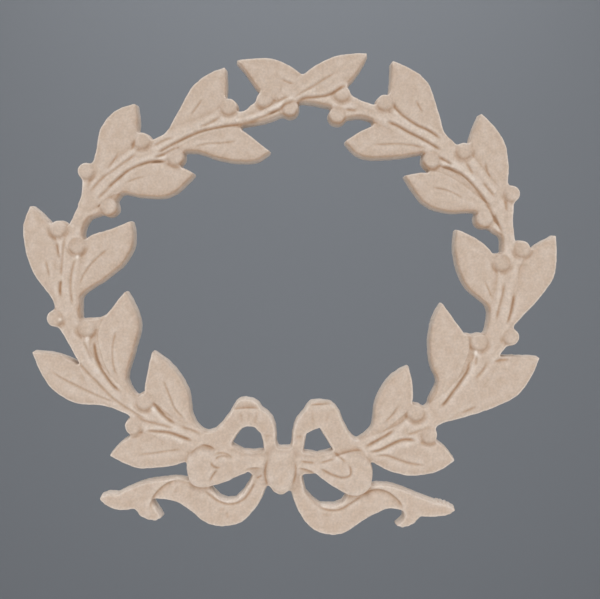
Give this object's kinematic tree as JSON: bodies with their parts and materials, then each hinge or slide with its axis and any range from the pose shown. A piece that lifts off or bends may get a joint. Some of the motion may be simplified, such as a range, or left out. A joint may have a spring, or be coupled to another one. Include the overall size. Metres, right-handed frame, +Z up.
{
  "type": "carved wreath applique",
  "caption": "Flat-backed carved wood wreath of two leafy sprays with berries, tied by a ribbon bow, for fixing to furniture or panelling.",
  "frame": {"origin": "on the flat back, behind the knot of the bow", "axes": "+X to the wreath's right as seen from the front, +Y out of the flat back, +Z up; the carving faces -Y"},
  "size_m": [0.1776, 0.0078, 0.1596],
  "materials": {
    "pale_wood": "unfinished, sanded, fine grained"
  },
  "bodies": {
    "root": {"wreath": "pale_wood"}
  },
  "joints": []
}
